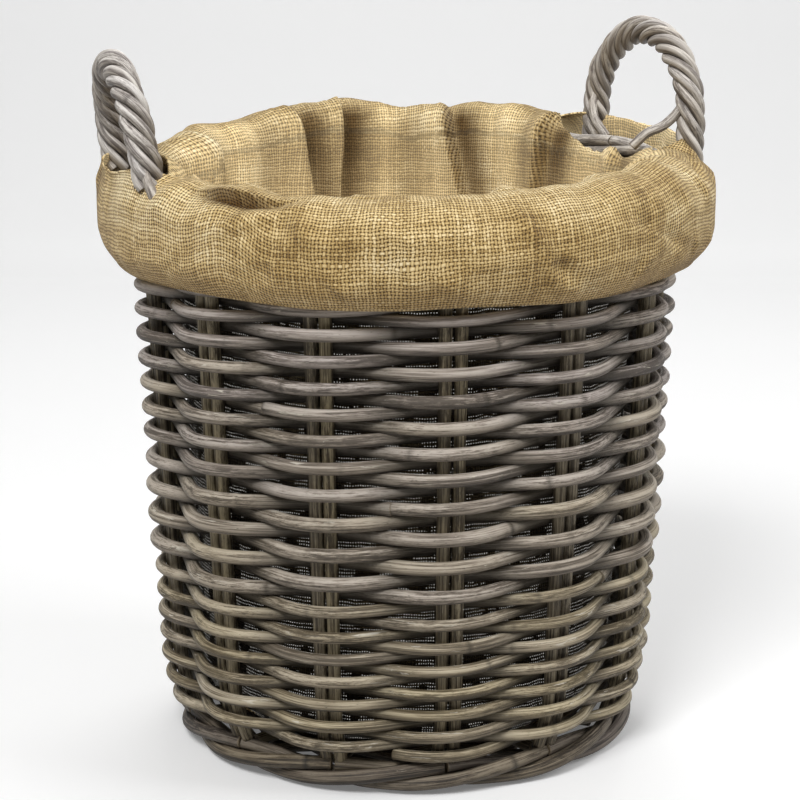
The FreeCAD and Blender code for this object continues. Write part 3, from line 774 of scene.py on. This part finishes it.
# ---- liner ----
CREST = [(0, 428.5), (30, 432.5), (48, 437), (62, 442), (85, 440), (100, 443), (120, 448), (141, 455),
         (150, 461), (162, 464), (172, 457), (180, 457), (187, 464), (197, 465), (208, 461), (226, 451),
         (237, 451), (252, 441), (268, 434), (285, 432), (300, 434), (312, 434), (330, 428.5),
         (345, 427.5), (360, 428.5)]
HEM = [(0, 357), (40, 360), (80, 366), (120, 365), (180, 364), (240, 365), (275, 366), (320, 360), (360, 357)]
# inner pleats: angle, width in degrees on the sharp side and on the soft side, depth, slant
PLEATS = [(248, 1.0, 8, 17, 0.03), (229, 6, 3, 5, 0.0), (213, 1.1, 6, 12, 0.06), (198, 0.7, 8, 13, -0.015),
          (186, 4, 5, 5, 0.0), (171, 1.4, 9, 16, 0.075), (152, 4, 3, 5, 0.02), (139, 1.6, 6, 12, -0.04),
          (113, 2.5, 6, 7, 0.05), (268, 2, 7, 9, 0), (300, 1.8, 8, 8, 0), (325, 2, 8, 8, 0),
          (350, 2.0, 9, 8, 0), (20, 2.2, 8, 8, 0), (45, 2, 7, 8, 0), (70, 2.0, 7, 8, 0)]
LAP_ANGLE, LAP_DROP = -32.0, 19.0            # where the turned cloth laps over itself at the front left


def turn_to(angle, centre):
    """The angle from a centre, between -180 and 180 degrees."""
    return (angle - centre + 180) % 360 - 180


def profile(angle, crest, hem):
    """Control points of the cloth's section here, as radius and height."""
    return np.array([(147.5, 29.5), (152, 38), (157.5, 56), (162, 150), (166.5, 260), (171, 360),
                     (173.5, crest - 48), (175, crest - 24), (179.5, crest - 9), (188.5, crest - 0.8),
                     (203, crest - 0.8), (218, crest - 8), (228, crest - 21), (233, crest - 39),
                     (232, hem + 28), (227, hem + 13),
                     (220.5, hem + 4), (216.5, hem)], float)


def section(angle, crest, hem):
    """Fine points of the section and the length at its crest."""
    line = spline(np.column_stack([profile(angle, crest, hem), np.zeros(18)]), 2.0)[:, :2]
    seg = np.linalg.norm(np.diff(line, axis=0), axis=1)
    s = np.concatenate([[0], np.cumsum(seg)])
    return line, s, s[np.argmax(line[:, 1])]


def slit_depth(angle):
    """0 away from the slits, rising to 1 in the middle of a slit."""
    depth = 0.0
    for name, at, *rest in HANDLES:
        x = abs(turn_to(angle, at)) / 22.5
        depth = max(depth, 1 - x ** 3 if x < 1 else 0.0)
    return depth


def make_liner():
    """The bag's wall, fold and collar as one sheet, and the points of its lower outer edge."""
    around, inner_rows, outer_rows = 560, 92, 58
    low = np.linspace(0, 1, inner_rows)
    high = np.linspace(0, 1, outer_rows)
    waves = [(rng.integers(3, 9), rng.uniform(0, 6.28), rng.uniform(0.5, 1.2)) for _ in range(7)]
    small = [(rng.integers(12, 38), rng.uniform(0, 6.28), rng.uniform(0.3, 1.0), rng.uniform(-5, 5))
             for _ in range(12)]
    ridges = []
    for n in range(RIDGES):
        slope = rng.uniform(0.35, 1.3) * rng.choice([-1, 1])
        ridges.append((360 * (n + rng.uniform(-0.4, 0.4)) / RIDGES, rng.uniform(18, 85),
                       math.cos(slope), math.sin(slope), rng.uniform(22, 50), rng.uniform(4, 9),
                       rng.uniform(2.4, 5.2) * rng.choice([-1, 1])))
    verts, uvs, painted_fold_shade = [], [], []
    for i in range(around + 1):
        angle = 250.0 + 360.0 * i / around
        crest = np.interp(angle % 360, [a for a, z in CREST], [z for a, z in CREST])
        hem = np.interp(angle % 360, [a for a, z in HEM], [z for a, z in HEM])
        hem += 1.2 * math.sin(math.radians(7 * angle + 40))
        line, s, top = section(angle, crest, hem)
        cut = slit_depth(angle)
        inner_end = top - 26 * cut
        outer_start = top + 20 * cut
        lengths = np.concatenate([low ** 0.9 * inner_end, outer_start + high * (s[-1] - outer_start)])
        r = np.interp(lengths, s, line[:, 0])
        z = np.interp(lengths, s, line[:, 1])
        rise = np.where(lengths > top, np.exp(-np.maximum(0, lengths - top - 14) / 30), 0) * cut
        r += rise * 0.9 * (230.5 - r)
        z += rise * 11
        slope_r = np.gradient(np.interp(lengths, s, line[:, 0]))
        slope_z = np.gradient(np.interp(lengths, s, line[:, 1]))
        size = np.maximum(1e-6, np.hypot(slope_r, slope_z))
        normal_r, normal_z = -slope_z / size, slope_r / size      # points into the bag and up
        for k, length in enumerate(lengths):
            turn = math.radians(angle)
            from_top = length - top
            puff, shade = 0.0, 0.0
            # soft waves of the collar and the wall
            for n, phase, weight in waves:
                puff += 0.8 * weight * math.sin(n * turn + phase + from_top * 0.012)
            fine = 0.0
            for n, phase, weight, drift in small:
                fine += weight * math.sin(n * turn + phase + from_top * 0.02 * drift)
            if from_top < 0:
                fade = math.exp(-max(0.0, -from_top - 20) / 110)
                push = 0.0
                for at, sharp, soft, depth, slant in PLEATS:
                    x = turn_to(angle, at + slant * from_top)
                    width = sharp if x < 0 else soft
                    push += depth * math.exp(-(x / width) ** 2)
                    # painted shade: darker on the lee side of each pleat
                    lee = (x + sharp + 3.0) / (4.0 if x > -sharp - 3.0 else 5.5)
                    shade = max(shade, min(0.97, depth * 0.075) * math.exp(-lee * lee) * (0.35 + 0.65 * fade))
                edge = min(1.0, -from_top / 25)
                shade *= min(1.0, -from_top / 22)
                bump = (1.7 * push - 3.0) * fade * edge + 0.5 * puff * edge + 0.5 * fine * fade
                bump = max(bump, -1.0)
            else:
                edge = min(1.0, from_top / 20)
                hem_fade = min(1.0, (s[-1] - length) / 28)
                bump = (0.7 * puff * edge + 0.45 * fine * (0.35 + 0.65 * hem_fade)) * (0.3 + 0.7 * hem_fade)
                for at, drop, c, d, long, wide, rise in ridges:
                    x = math.radians(turn_to(angle, at)) * COLLAR_R
                    if abs(x) > 75:
                        continue
                    y = from_top - drop
                    p, q = c * x + d * y, -d * x + c * y
                    spread = wide * (0.55 if q > 0 else 1.3)
                    bump += edge * hem_fade * rise * math.exp(-(p / long) ** 2 - (q / spread) ** 2)
                x = turn_to(angle, LAP_ANGLE)
                lap = from_top - (LAP_DROP - 0.05 * (x + 3) ** 2)
                size_here = 7.0 * math.exp(-(x / 8.0) ** 2)
                step = math.exp(-(lap / 13) ** 2) if lap < 0 else -0.55 * math.exp(-(lap / 8) ** 2)
                bump += size_here * step
                # painted shade: a dark slot under the lap
                shade = min(1.0, 1.3 * math.exp(-(x / 7.0) ** 2)) * math.exp(-((lap - 1.5) / 4.0) ** 2)
            painted_fold_shade.append(shade)
            rr = r[k] + normal_r[k] * bump
            rr = min(rr, (231.5 if angle % 360 < 180 else 230.0) + 0.15 * bump)
            zz = z[k] + normal_z[k] * bump
            verts.append(polar(rr, angle, zz))
        column = np.array(verts[-outer_rows:])
        gaps = np.linalg.norm(np.diff(column, axis=0), axis=1)
        along = outer_start + np.concatenate([[0], np.cumsum(gaps)])
        near_lap = math.exp(-(turn_to(angle, LAP_ANGLE) / 13) ** 2)
        along = lengths + near_lap * (np.concatenate([lengths[:inner_rows], along]) - lengths)
        uvs += [(turn * MEAN_R, v * 0.001, 1.0 if length < top - 34 else 0.0)
                for v, length in zip(along, lengths)]
    rows = inner_rows + outer_rows
    verts = np.array(verts)
    faces = []
    for i in range(around):
        j = i + 1
        for k in range(rows - 1):
            if k == inner_rows - 1:
                continue
            faces.append((i * rows + k, j * rows + k, j * rows + k + 1, i * rows + k + 1))
    obj = new_object("hessian_liner", (verts * 0.001).tolist(), faces, cloth_skin,
                     {"cloth_co": uvs}, {"fold": painted_fold_shade})
    bm = bmesh.new()
    bm.from_mesh(obj.data)
    weld = [v for v in bm.verts if v.index // rows not in (0, around)]
    bmesh.ops.remove_doubles(bm, verts=weld, dist=0.00002)
    bm.to_mesh(obj.data)
    bm.free()
    thicken(obj)
    place(obj, "liner", "hessian", "liner_side", "liner_fold", "liner_collar")
    return obj, verts.reshape(-1, rows, 3)[:-1, -1, :]


def make_floor():
    """The laid floor of the bag."""
    rings, around = 34, 180
    points, co, faces = [(0, 0, FLOOR_Z)], [(0, 0, 0)], []
    for k in range(1, rings + 1):
        radius = FLOOR_R * k / rings
        for i in range(around):
            angle = 360.0 * i / around
            turn = math.radians(angle)
            wave = 0.9 * math.sin(3 * turn + radius * 0.03) * math.sin(radius * 0.045)
            wave += 0.5 * math.sin(7 * turn + 1) * radius / FLOOR_R
            points.append(tuple(polar(radius, angle, FLOOR_Z + wave + 1.5 * max(0, (radius - 140) / 8))))
            co.append((radius * math.sin(turn) * 0.001, radius * math.cos(turn) * 0.001, 0))
    for i in range(around):
        faces.append((0, 1 + i, 1 + (i + 1) % around))
    for k in range(rings - 1):
        for i in range(around):
            a, b = 1 + k * around + i, 1 + k * around + (i + 1) % around
            faces.append((a, a + around, b + around, b))
    verts = [tuple(c * 0.001 for c in p) for p in points]
    floor = new_object("hessian_floor", verts, faces, cloth_skin, {"cloth_co": co})
    thicken(floor)
    return place(floor, "liner", "hessian", "liner_floor")


def make_hem(edge):
    """The rolled hem along the sheet's lower outer edge."""
    count, sides = len(edge), 8
    points, co, faces = [], [], []
    for i in range(count):
        along = unit(edge[(i + 1) % count] - edge[i - 1])
        out = unit(np.cross(along, (0, 0, 1.0)))
        for j in range(sides):
            phi = 2 * math.pi * j / sides
            rise = np.array([0, 0, 1.9 * math.sin(phi) + 0.6])
            points.append(edge[i] + out * 1.5 * math.cos(phi) + rise)
            co.append((math.radians(360 * i / count) * 0.2, 0.62 + 0.0016 * phi, 0))
    for i in range(count):
        for j in range(sides):
            a, b = i * sides + j, i * sides + (j + 1) % sides
            c, d = ((i + 1) % count) * sides + (j + 1) % sides, ((i + 1) % count) * sides + j
            faces.append((a, b, c, d))
    verts = [tuple(p * 0.001) for p in points]
    hem = new_object("hessian_hem", verts, faces, cloth_skin, {"cloth_co": co})
    return place(hem, "liner", "hessian", "liner_hem")


make_weavers()
make_stakes()
make_borders()
make_base()
make_handles()
liner, lower_edge = make_liner()
bag_floor = make_floor()
bag_hem = make_hem(lower_edge)


# ---- stage, light and camera ----
def make_stage():
    """A pale floor that curves up into a backdrop."""
    # the outline from front to back, as y and z in metres
    points = [(-16.0, 0), (-9, 0), (-3, 0), (1.6, 0), (2.2, 0.05), (2.7, 0.25), (3.05, 0.6),
              (3.2, 1.2), (3.25, 4.0)]
    fine = spline([(y, z, 0) for y, z in points], 0.08)
    verts, faces = [], []
    for y, z, _ in fine:
        verts += [(-12, y, z), (12, y, z)]
    for i in range(len(fine) - 1):
        faces.append((2 * i, 2 * i + 1, 2 * i + 3, 2 * i + 2))
    material, tree, shader = new_material("studio_white")
    shader.inputs["Base Color"].default_value = (0.93, 0.93, 0.93, 1)
    shader.inputs["Emission Color"].default_value = (1, 1, 1, 1)
    shader.inputs["Emission Strength"].default_value = 0.14
    shader.inputs["Roughness"].default_value = 0.9
    obj = new_object("studio_floor", verts, faces, material)


def lamp(name, location, target, size, watts, colour=(1, 1, 1)):
    """A soft rectangular light that faces its target."""
    data = bpy.data.lights.new(name, "AREA")
    data.shape = "RECTANGLE"
    data.size, data.size_y = size
    data.energy = watts
    data.color = colour
    obj = bpy.data.objects.new(name, data)
    bpy.context.scene.collection.objects.link(obj)
    obj.location = location
    direction = np.array(target) - np.array(location)
    obj.rotation_euler = Vector(direction).to_track_quat("-Z", "Y").to_euler()


make_stage()
lamp("key", (-0.8, -2.3, 2.55), (0, 0, 0.3), (1.3, 1.0), 78)
lamp("side", (2.3, -0.6, 1.9), (0, 0, 0.3), (1.2, 1.4), 26)
lamp("back", (0.2, 1.7, 2.6), (0, 0, 0.4), (1.6, 1.0), 22)
world = bpy.data.worlds.new("studio")
world.use_nodes = True
backdrop = world.node_tree.nodes["Background"]
backdrop.inputs[0].default_value = (1, 1, 1, 1)
backdrop.inputs[1].default_value = 0.19
bpy.context.scene.world = world
bpy.context.scene.view_settings.view_transform = "Standard"

camera_data = bpy.data.cameras.new("camera")
camera = bpy.data.objects.new("camera", camera_data)
bpy.context.scene.collection.objects.link(camera)
camera.location = (0, -1.648, 0.602)
camera.rotation_euler = (math.radians(77.94), 0, 0)
camera_data.sensor_width = 36
camera_data.lens = 98.5
camera_data.shift_x = -0.00625
bpy.context.scene.camera = camera
